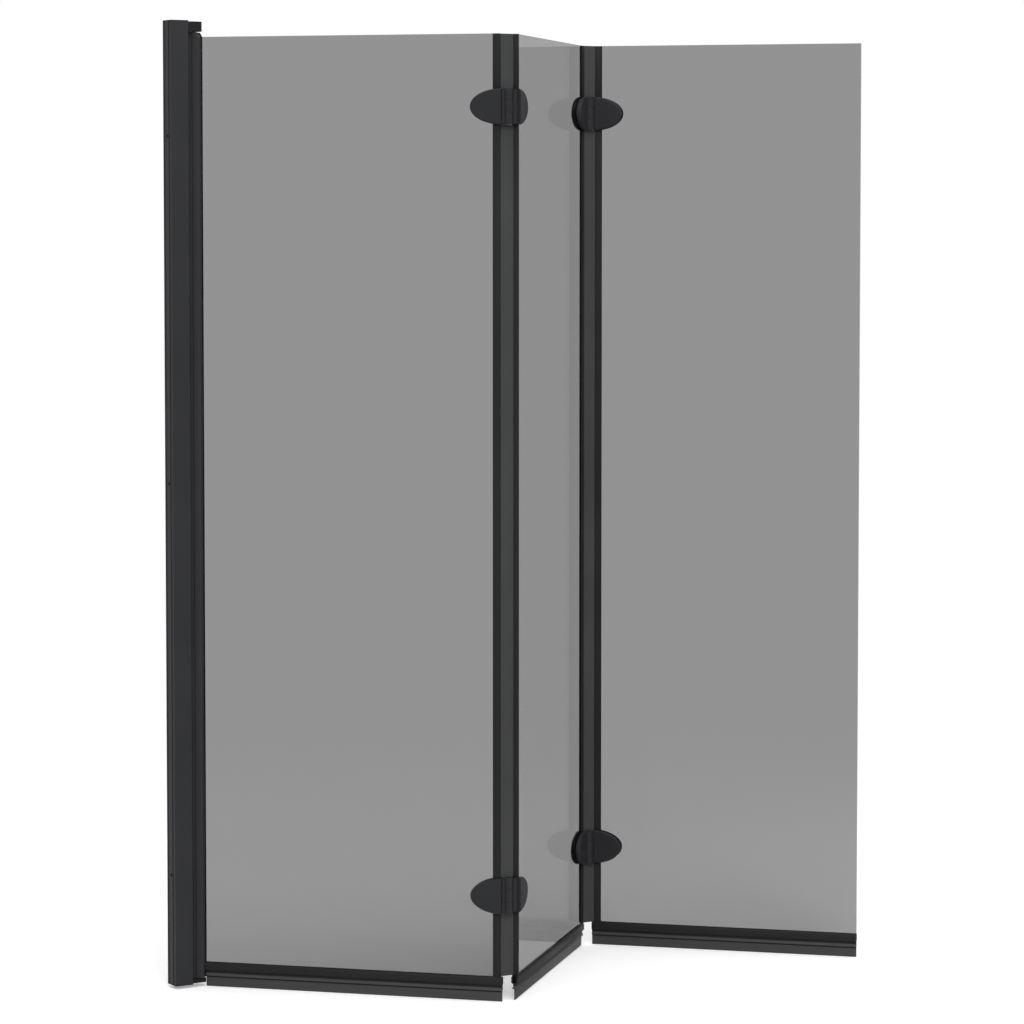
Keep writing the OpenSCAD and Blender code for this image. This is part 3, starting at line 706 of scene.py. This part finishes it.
class ScreenSizes(bpy.types.PropertyGroup):
    """Sizes that the solids' boxes don't give."""

    rest_angle: angle("Rest angle", "Angle between each panel and the wall's normal at rest", math.pi / 4)
    glass_thickness: length("Glass", "Thickness of the glass", 5 * MM)
    glass_arris: length("Arris", "Width of the ground edges of the glass", 0.5 * MM)
    glass_edge: length("Glass setback", "From a panel's end to its glass at a joint", 4.3 * MM)
    axis_gap: length("Axis gap", "From a panel's end to the hinge axis, along the panel", 4.5 * MM)
    axis_offset: length("Axis offset", "From the middle of the glass to the hinge axis", 9.7 * MM)
    leaf_length: length("Leaf length", "Length of a hinge leaf", 45 * MM)
    hinge_height: length("Hinge height", "Height of a hinge", 50 * MM)
    leaf_fullness: share("Leaf fullness", "Two makes the leaf an ellipse, more makes it fuller", 2.0)
    cover_base: length("Cover base", "From the middle of the glass to a cover's foot", 4.0 * MM)
    cover_top: length("Cover top", "From the middle of the glass to the top of a cover", 9.2 * MM)
    cover_rim: length("Cover rim", "Radius of a cover's rounded rim", 2.8 * MM)
    cover_crown: length("Cover crown", "Rise of a cover's face", 0.5 * MM)
    cover_wall: length("Cover wall", "Thickness of a cover's skirt", 1.2 * MM)
    end_wall: length("End wall", "Thickness of the leaf's wall in front of the glass edge", 2.3 * MM)
    nose: length("Nose", "Reach of that wall towards the hinge axis", 3.6 * MM)
    plate_out: length("Plate", "From the middle of the glass to the outside of a leaf's plate", 7.2 * MM)
    plate_setback: length("Plate setback", "From the leaf's end to its plate", 4 * MM)
    barrel_radius: length("Barrel", "Radius of the hinge barrel", 8 * MM)
    barrel_room: length("Barrel room", "Gap between the barrel and a cover", 0.4 * MM)
    bore_radius: length("Bore", "Radius of the hinge pin's hole", 3.02 * MM)
    knuckle_height: length("Knuckle", "Height of the middle knuckle", 18.4 * MM)
    knuckle_gap: length("Knuckle gap", "Gap between two knuckles", 0.3 * MM)
    knuckle_edge: length("Knuckle edge", "Radius of a knuckle's edges", 0.25 * MM)
    tab_length: length("Tab length", "Length of the tab between plate and knuckle", 8 * MM)
    tab_reach: length("Tab reach", "Reach of that tab into the knuckle", 1.5 * MM)
    web_notch: length("Web notch", "Gap between a soft web and a hinge", 0.1 * MM)
    clip_tuck: length("Clip tuck", "Reach of a clip under the rounded ends of a hinge leaf", 1.1 * MM)
    seal_play: length("Seal play", "Gap between a seal and the glass", 0.02 * MM)
    seal_height: length("Seal height", "Height of a bottom seal", 35 * MM)
    seal_grip: length("Seal grip", "Depth of glass in a bottom seal", 11 * MM)
    seal_half: length("Seal half", "Half thickness of a bottom seal", 5 * MM)
    seal_lip_half: length("Seal lip", "Half thickness of a bottom seal at its top", 3.1 * MM)
    seal_taper: length("Seal taper", "Height of a bottom seal's tapered top", 2.5 * MM)
    seal_slope: length("Seal slope", "Height of the slope under a bottom seal's body", 1.7 * MM)
    seal_edge: length("Seal edge", "Radius of a bottom seal's edges", 0.6 * MM)
    neck_half: length("Seal neck", "Half thickness of a bottom seal's neck", 2.1 * MM)
    notch_height: length("Seal notch", "Height of the notch above the fins", 3 * MM)
    fin_half: length("Fin half", "Half width over the fins", 3.5 * MM)
    fin_height: length("Fin height", "Height of the fins", 4 * MM)
    fin_edge: length("Fin edge", "Thickness of the fins' tips", 0.8 * MM)
    blade_height: length("Blade height", "Height of a seal's soft blade", 15.5 * MM)
    # The blade's black band under the fins is painted shadow, standing in for the shade that the fins cast
    fin_shadow_height: length("Blade root", "Height of the blade's black root under the fins", 2.4 * MM)
    blade_thickness: length("Blade", "Thickness of the blade at its root", 1.8 * MM)
    blade_tip: length("Blade tip", "Thickness of the blade at its tip", 1.3 * MM)
    clip_depth: length("Clip depth", "Depth of a joint seal's clip", 10 * MM)
    clip_thickness: length("Clip thickness", "Thickness of a joint seal's clip", 9.8 * MM)
    clip_gap: length("Clip gap", "From a panel's end to its clip", 3 * MM)
    clip_end: length("Clip end", "Thickness of a clip's end wall", 1.2 * MM)
    clip_lip: length("Clip lip", "Thickness of a clip's lip at its edge", 0.5 * MM)
    clip_edge: length("Clip edge", "Radius of a clip's edges", 0.9 * MM)
    web_thickness: length("Web", "Thickness of the soft web", 1.2 * MM)
    web_overlap: length("Web overlap", "Depth of the weld between a web and a clip", 0.6 * MM)
    web_level: length("Web level", "From a clip's side to the middle of the web in the weld", 1.5 * MM)
    web_root: share("Web root", "Extra thickness of the web at its clips", 0.5)
    web_columns: bpy.props.IntProperty(
        name="Web columns", description="Points across a web, which bends as the panels fold",
        default=33, min=5, max=129)


class ScreenColours(bpy.types.PropertyGroup):
    """Colours and gloss of the finishes."""

    profile: colour("Wall profile", "Powder coat of the wall profile", (0.0325, 0.033, 0.0355, 1))
    hinge: colour("Hinges", "Powder coat of the hinges", (0.0275, 0.028, 0.0305, 1))
    plastic: colour("Blocks", "Moulded plastic of the blocks and caps", (0.019, 0.019, 0.02, 1))
    seal: colour("Seals", "Extruded plastic of the clips", (0.0235, 0.0235, 0.0245, 1))
    blade: colour("Blades", "Soft plastic of the bottom blades", (0.066, 0.066, 0.067, 1))
    web: colour("Webs", "Soft plastic of the joint webs", (0.056, 0.057, 0.057, 1))
    pad: colour("Pads", "Rubber of the pads and the gasket", (0.012, 0.012, 0.012, 1))
    steel: colour("Steel", "Pins and screws", (0.6, 0.6, 0.62, 1))
    nylon: colour("Bushes", "Black nylon of the bushes", (0.02, 0.02, 0.02, 1))
    glass: colour("Glass", "Tint of the glass", (0.288, 0.288, 0.288, 1))
    glass_ior: share("Glass index", "Refractive index, under that of real glass to keep mirror images faint",
                     1.1, 1.0, 2.5)
    glass_wave: length("Glass waves", "Height of the waves in the glass", 0.02 * MM)
    metal_shine: share("Metal shine", "Strength of the coated metal's reflection", 0.06, 0.0, 1.0)
    plastic_shine: share("Plastic shine", "Strength of the plastic's reflection", 0.03, 0.0, 1.0)


class StudioSettings(bpy.types.PropertyGroup):
    """The camera, the lamps, the floor and the surroundings."""

    camera_place: place("Camera", "Where the camera stands", (-2.2956, -4.8232, 0.4255))
    camera_heading: angle("Heading", "How far the camera looks to the right of the wall's line",
                          math.radians(30.686))
    camera_pitch: angle("Pitch", "How far the camera looks up", math.radians(-3.39))
    camera_lens: share("Lens", "Focal length in millimetres on a 36 mm sensor", 131.9, 10, 500)
    camera_shift: share("Shift", "Upward shift of the frame, as a share of its width", -0.08, -1, 1)
    ambient: share("Ambient", "Light that comes from all round", 0.55)
    key_place: place("Key", "Where the large lamp in front stands", (-1.4, -4.4, 3.8))
    key_aim: place("Key aim", "What the lamp in front faces", (0.4, -0.1, 0.0))
    key_size: length("Key size", "Side of the lamp in front", 2.4, high=20)
    key_power: share("Key power", "Power of the lamp in front, in watts", 150, 0, 2000)
    fill_place: place("Fill", "Where the lamp at the right stands", (3.0, -2.4, 3.4))
    fill_aim: place("Fill aim", "What the lamp at the right faces", (0.5, -0.1, 0.0))
    fill_size: length("Fill size", "Side of the lamp at the right", 2.0, high=20)
    fill_power: share("Fill power", "Power of the lamp at the right, in watts", 22, 0, 2000)
    top_place: place("Top", "Where the lamp overhead stands", (0.3, -0.5, 3.4))
    top_aim: place("Top aim", "What the lamp overhead faces", (0.4, -0.1, 0.0))
    top_size: length("Top size", "Side of the lamp overhead", 2.6, high=20)
    top_power: share("Top power", "Power of the lamp overhead, in watts", 60, 0, 2000)
    floor_colour: colour("Floor", "Colour of the floor", (0.85, 0.85, 0.85, 1))
    floor_drop: length("Floor drop", "Gap between the screen's foot and the floor", 0.5 * MM)
    floor_reach: length("Floor reach", "Half the side of the floor", 12.0, high=50)
    floor_lift: share("Floor lift", "Light that the camera sees added to the floor", 0.3)
    floor_near: length("Floor near", "Reach of the plain lit floor", 1.0, high=20)
    floor_far: length("Floor far", "Distance at which the floor has become background", 3.0, high=20)


# Operators

class BATHSCREEN_OT_finishes(bpy.types.Operator):
    """Make the materials and give each carried-over solid its own"""

    bl_idname = "bathscreen.finishes"
    bl_label = "Finishes"

    def execute(self, context):
        sizes = context.scene.bathscreen_sizes
        fins_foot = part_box("bottom_seal_blade_1")[0].z + sizes.blade_height
        # The blade turns black a short way under the fins: painted shadow for the shade under them
        materials = make_materials(context.scene.bathscreen_colours, fins_foot - sizes.fin_shadow_height,
                                   fins_foot + sizes.fin_height)
        slots = {s["node"]: s["material_slot"] for s in frame["record"]["subparts"]}
        for node, piece in frame["nodes"].items():
            piece.data.materials.clear()
            piece.data.materials.append(materials[slots[node]])
        return {"FINISHED"}


class BATHSCREEN_OT_glass(bpy.types.Operator):
    """Make the three glass panels with their ground edges"""

    bl_idname = "bathscreen.glass"
    bl_label = "Glass panels"

    def execute(self, context):
        sizes = context.scene.bathscreen_sizes
        low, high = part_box("glass_panel_1")
        one, two, three = panel_places(sizes)
        in_profile = near_end("glass_panel_1", sizes.glass_thickness / 2, one)
        setback = sizes.glass_edge
        stations = softened(low.z, high.z, sizes.glass_arris, steps=2)
        for panel, near, far in (
            (one, in_profile, one.end - setback),
            (two, setback, two.end - setback),
            (three, setback, three.end),
        ):
            shape = on_panel(carried(glass_section(sizes, near, far), stations), panel)
            add_piece(f"glass_sheet_{panel.number}", shape, panel.body, material_of("tinted_glass"),
                      [f"glass_panel_{panel.number}"], sharp=20)
        return {"FINISHED"}


class BATHSCREEN_OT_bottom_seals(bpy.types.Operator):
    """Make the clips and the soft blades along the foot of each panel"""

    bl_idname = "bathscreen.bottom_seals"
    bl_label = "Bottom seals"

    def execute(self, context):
        sizes = context.scene.bathscreen_sizes
        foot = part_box("bottom_seal_blade_1")[0].z
        panels = panel_places(sizes)
        starts = [near_end("bottom_seal_clip_1", sizes.seal_half, panels[0]), 0.0, 0.0]
        for panel, start in zip(panels, starts):
            for kind, section, finish, slot in (
                ("clip", bottom_clip_section(sizes), "bottom_clip", "seal_plastic"),
                # The blade's finish paints a black shadow band just under the fins
                ("blade", blade_section(sizes), "blade_and_root", "seal_rubber"),
            ):
                bar = carried(section, softened(start, panel.end, sizes.seal_edge / 4, steps=2))
                shape = on_panel(moved(mapped(bar, [2, 0, 1]), (0, 0, foot)), panel)
                add_piece(f"foot_{kind}_{panel.number}", shape, panel.body, material_of(finish),
                          [f"bottom_seal_{kind}_{panel.number}"])
        return {"FINISHED"}


class BATHSCREEN_OT_joint_seals(bpy.types.Operator):
    """Make the clips on the glass edges and the soft webs between them"""

    bl_idname = "bathscreen.joint_seals"
    bl_label = "Joint seals"

    def execute(self, context):
        sizes = context.scene.bathscreen_sizes
        one, two, three = panel_places(sizes)
        section = edge_clip_section(sizes)
        bars = joined([carried(section, softened(*span, sizes.clip_edge / 4, steps=2))
                       for span in strip_heights(sizes, -sizes.clip_tuck)])
        for name, panel, at_end in (
            ("1", one, True), ("2a", two, False), ("2b", two, True), ("3", three, False),
        ):
            placed = moved(bars, (panel.end, 0, 0)) if at_end else mapped(bars, [0, 1, 2], (-1, 1, 1))
            add_piece(f"joint_clip_{name}", on_panel(placed, panel), panel.body,
                      material_of("clip_plastic"), [f"edge_clip_{name}"])
        add_web("12", 1, sizes, one, two)
        add_web("23", -1, sizes, two, three)
        return {"FINISHED"}


class BATHSCREEN_OT_hinges(bpy.types.Operator):
    """Make the hinge leaves with their knuckles, and the rounded covers over them"""

    bl_idname = "bathscreen.hinges"
    bl_label = "Hinges"

    def execute(self, context):
        sizes = context.scene.bathscreen_sizes
        middle, top = sizes.knuckle_height / 2, sizes.hinge_height / 2
        outer_low = middle + sizes.knuckle_gap
        material = material_of("black_hinge")
        heights = hinge_heights(sizes)
        near_cover = cover_shape(sizes, True)
        far_cover = mapped(cover_shape(sizes, False), [0, 1, 2], (1, -1, 1))
        for half in half_hinges(panel_places(sizes)):
            spans = [(outer_low, top), (-top, -outer_low)] if half.at_end else [(-middle, middle)]
            leaf = [knuckle_shape(sizes, *span) for span in spans]
            leaf += [plate_shape(sizes), end_wall_shape(sizes, half.at_end)]
            for kind, shapes in (("leaf", leaf), ("covers", [near_cover, far_cover])):
                shape = joined([on_half_hinge(joined(shapes), half, h) for h in heights])
                add_piece(f"hinge_{kind}_{half.hinge}_{half.letter}", shape, half.panel.body, material,
                          [f"hinge_{half.hinge}_{kind}_{half.letter}"])
        return {"FINISHED"}


class BATHSCREEN_OT_studio(bpy.types.Operator):
    """Set up the floor, the lamps, the surroundings and the camera"""

    bl_idname = "bathscreen.studio"
    bl_label = "Studio"

    def execute(self, context):
        studio = context.scene.bathscreen_studio
        add_floor(studio)
        add_lamps(studio)
        add_surroundings(studio)
        add_camera(studio)
        context.scene.view_settings.view_transform = "Standard"
        return {"FINISHED"}


# Studio

def seen_directly(tree):
    """One for what the camera sees, also in a reflection or through glass, and zero for the rest."""
    rays = tree.nodes.new("ShaderNodeLightPath").outputs
    reflected = worked_out(tree, "MAXIMUM", rays["Is Camera Ray"], rays["Is Glossy Ray"])
    return worked_out(tree, "MAXIMUM", reflected, rays["Is Transmission Ray"])


def floor_material(studio):
    """Pale and lit by the lamps near the screen, and as plain a white as the background far from it."""
    material, tree, shader = new_material("floor")
    shader.inputs["Base Color"].default_value = studio.floor_colour
    shader.inputs["Roughness"].default_value = 0.9
    shader.inputs["Specular IOR Level"].default_value = 0.0
    shader.inputs["Emission Color"].default_value = (1, 1, 1, 1)
    seen = seen_directly(tree)
    lift = worked_out(tree, "MULTIPLY", seen, studio.floor_lift)
    tree.links.new(lift, shader.inputs["Emission Strength"])
    distance = tree.nodes.new("ShaderNodeVectorMath")
    distance.operation = "DISTANCE"
    distance.inputs[1].default_value = (cad_box[0] + cad_box[1]) / 2
    tree.links.new(object_place(tree), distance.inputs[0])
    far = ranged(tree, distance.outputs["Value"], 0, 1, studio.floor_near, studio.floor_far, "SMOOTHSTEP")
    plain = tree.nodes.new("ShaderNodeEmission")
    tree.links.new(ranged(tree, seen, studio.ambient, 1), plain.inputs["Strength"])
    mix = tree.nodes.new("ShaderNodeMixShader")
    tree.links.new(far, mix.inputs[0])
    tree.links.new(shader.outputs["BSDF"], mix.inputs[1])
    tree.links.new(plain.outputs["Emission"], mix.inputs[2])
    tree.links.new(mix.outputs["Shader"], tree.nodes["Material Output"].inputs["Surface"])
    return material


def add_floor(studio):
    """A plain pale floor just under the foot of the screen, which keeps its shadow."""
    reach = studio.floor_reach
    outline = np.array([(-reach, -reach), (reach, -reach), (reach, reach), (-reach, reach)])
    shape = lid(outline, cad_box[0].z - studio.floor_drop, True)
    add_piece("floor", shape, None, floor_material(studio))


def add_lamps(studio):
    """Three large soft lamps: a key in front, a weaker fill at the right and one overhead."""
    for name in ("key", "fill", "top"):
        light = bpy.data.lights.new(name, "AREA")
        light.shape = "SQUARE"
        light.size = getattr(studio, f"{name}_size")
        light.energy = getattr(studio, f"{name}_power")
        lamp = bpy.data.objects.new(name, light)
        bpy.context.scene.collection.objects.link(lamp)
        lamp.location = getattr(studio, f"{name}_place")
        x, y, z = getattr(studio, f"{name}_aim") - getattr(studio, f"{name}_place")
        lamp.rotation_euler = (math.atan2(math.hypot(x, y), -z), 0, math.atan2(y, x) - math.pi / 2)


def add_surroundings(studio):
    """A white room: white to the camera, to reflections and through glass, and softer as light."""
    world = bpy.data.worlds.new("surroundings")
    world.use_nodes = True
    tree = world.node_tree
    background = tree.nodes["Background"]
    background.inputs["Color"].default_value = (1, 1, 1, 1)
    tree.links.new(ranged(tree, seen_directly(tree), studio.ambient, 1), background.inputs["Strength"])
    bpy.context.scene.world = world


def add_camera(studio):
    """The camera, at the photograph's viewing angle."""
    data = bpy.data.cameras.new("camera")
    data.lens = studio.camera_lens
    data.shift_y = studio.camera_shift
    camera = bpy.data.objects.new("camera", data)
    bpy.context.scene.collection.objects.link(camera)
    camera.location = studio.camera_place
    camera.rotation_euler = (math.pi / 2 + studio.camera_pitch, 0, -studio.camera_heading)
    bpy.context.scene.camera = camera


class BATHSCREEN_PT_sidebar(bpy.types.Panel):
    """Lists the steps that build the screen"""

    bl_label = "Bath Screen"
    bl_idname = "BATHSCREEN_PT_sidebar"
    bl_space_type = "VIEW_3D"
    bl_region_type = "UI"
    bl_category = "Bath Screen"

    def draw(self, context):
        for operator in OPERATORS:
            self.layout.operator(operator.bl_idname)


OPERATORS = (
    BATHSCREEN_OT_finishes, BATHSCREEN_OT_glass, BATHSCREEN_OT_bottom_seals, BATHSCREEN_OT_joint_seals,
    BATHSCREEN_OT_hinges, BATHSCREEN_OT_studio,
)
SETTINGS = {
    "bathscreen_sizes": ScreenSizes,
    "bathscreen_colours": ScreenColours,
    "bathscreen_studio": StudioSettings,
}


def register():
    """Adds the settings, the operators and the panel."""
    for name, group in SETTINGS.items():
        bpy.utils.register_class(group)
        setattr(bpy.types.Scene, name, bpy.props.PointerProperty(type=group))
    for item in (*OPERATORS, BATHSCREEN_PT_sidebar):
        bpy.utils.register_class(item)


def unregister():
    """Takes them away again."""
    for item in (BATHSCREEN_PT_sidebar, *reversed(OPERATORS)):
        bpy.utils.unregister_class(item)
    for name, group in SETTINGS.items():
        delattr(bpy.types.Scene, name)
        bpy.utils.unregister_class(group)


def main():
    """Builds everything in order."""
    register()
    bpy.ops.bathscreen.finishes()
    bpy.ops.bathscreen.glass()
    bpy.ops.bathscreen.bottom_seals()
    bpy.ops.bathscreen.joint_seals()
    bpy.ops.bathscreen.hinges()
    bpy.ops.bathscreen.studio()


if __name__ == "__main__":
    main()
